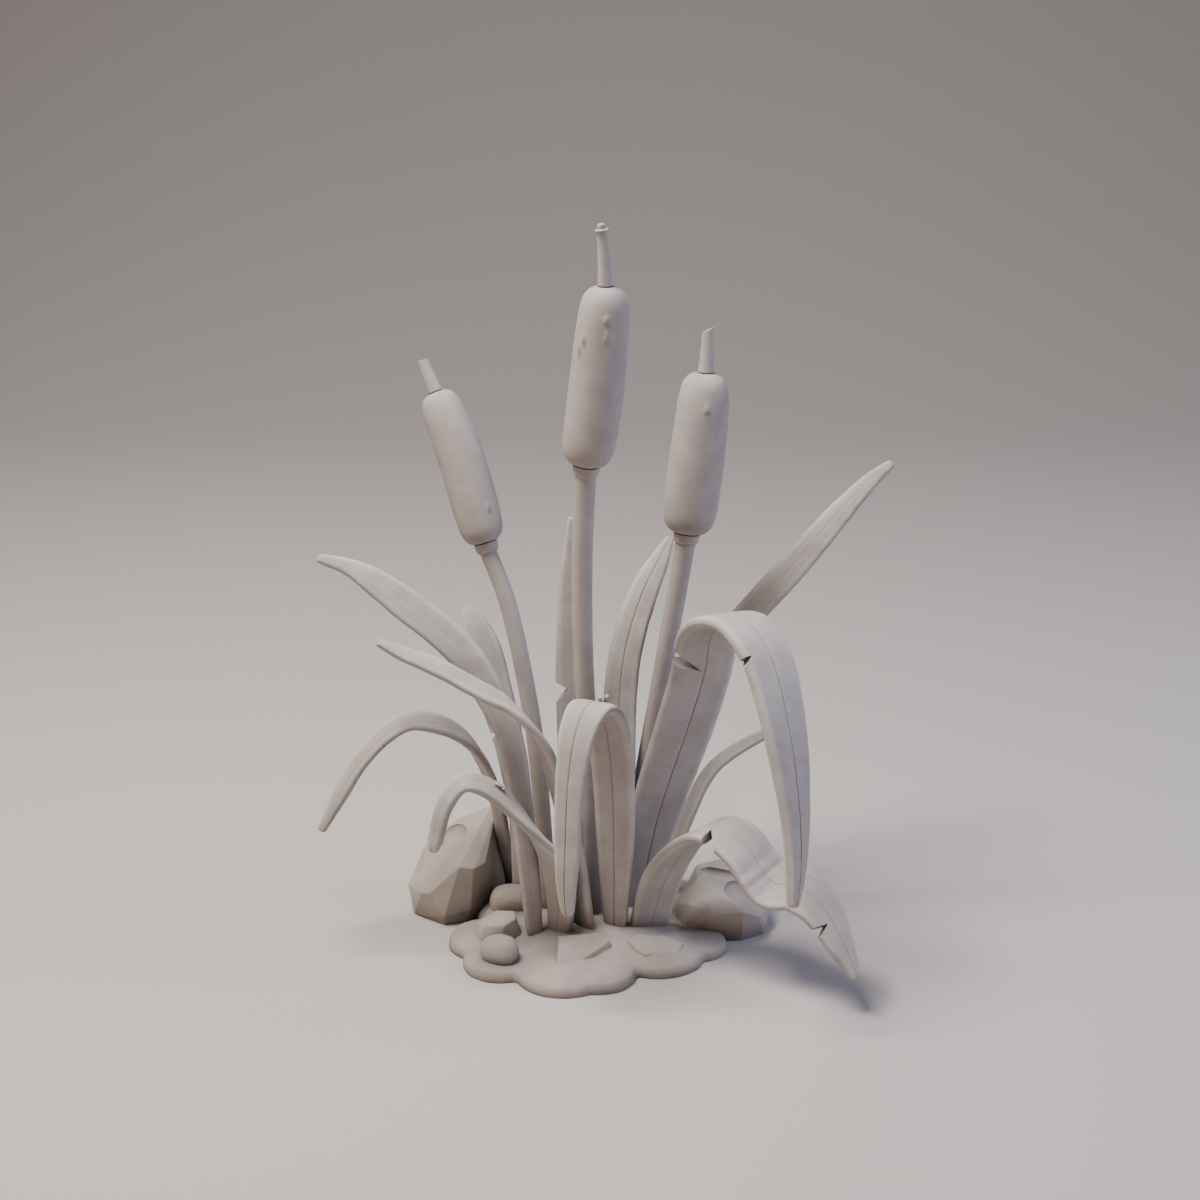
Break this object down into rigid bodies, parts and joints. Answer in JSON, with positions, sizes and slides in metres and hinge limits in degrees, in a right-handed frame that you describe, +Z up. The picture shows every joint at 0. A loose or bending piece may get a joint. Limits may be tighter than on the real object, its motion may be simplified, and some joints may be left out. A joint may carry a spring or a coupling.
{
  "type": "cattail clump",
  "caption": "Clump of cattail stalks with sausage-shaped seed heads and strap leaves, some folded over, rooted in a scalloped mud puddle with stones around it.",
  "frame": {"origin": "on the ground under the middle of the clump, on the mud's flat underside", "axes": "+Z up along the stalks, +X to the right of the folded leaf, +Y to the back of the clump"},
  "size_m": [0.4875, 0.2638, 0.6215],
  "materials": {
    "leaf": "matte pale clay, unpainted",
    "stem": "matte pale clay, unpainted",
    "seed_head": "matte pale clay, unpainted",
    "mud": "matte pale clay, unpainted",
    "stone": "matte pale clay, unpainted"
  },
  "bodies": {
    "root": {"mud_mound": "mud", "stone_left": "stone", "stone_right": "stone", "pebble_angular": "stone", "slab_front": "stone", "slab_right": "stone", "pebble_round": "stone", "pebble_back": "stone", "stem_left": "stem", "seed_head_left": "seed_head", "spike_left": "stem", "stem_middle": "stem", "seed_head_middle": "seed_head", "spike_middle": "stem", "stem_right": "stem", "seed_head_right": "seed_head", "spike_right": "stem", "leaf_far_left": "leaf", "leaf_left_over": "leaf", "leaf_left_arch": "leaf", "leaf_front_left_arch": "leaf", "leaf_left_upright": "leaf", "leaf_middle_upright": "leaf", "leaf_right_upright": "leaf", "leaf_far_right": "leaf", "leaf_right_folded": "leaf", "leaf_right_young": "leaf", "leaf_front_folded": "leaf", "leaf_right_low": "leaf"}
  },
  "joints": []
}
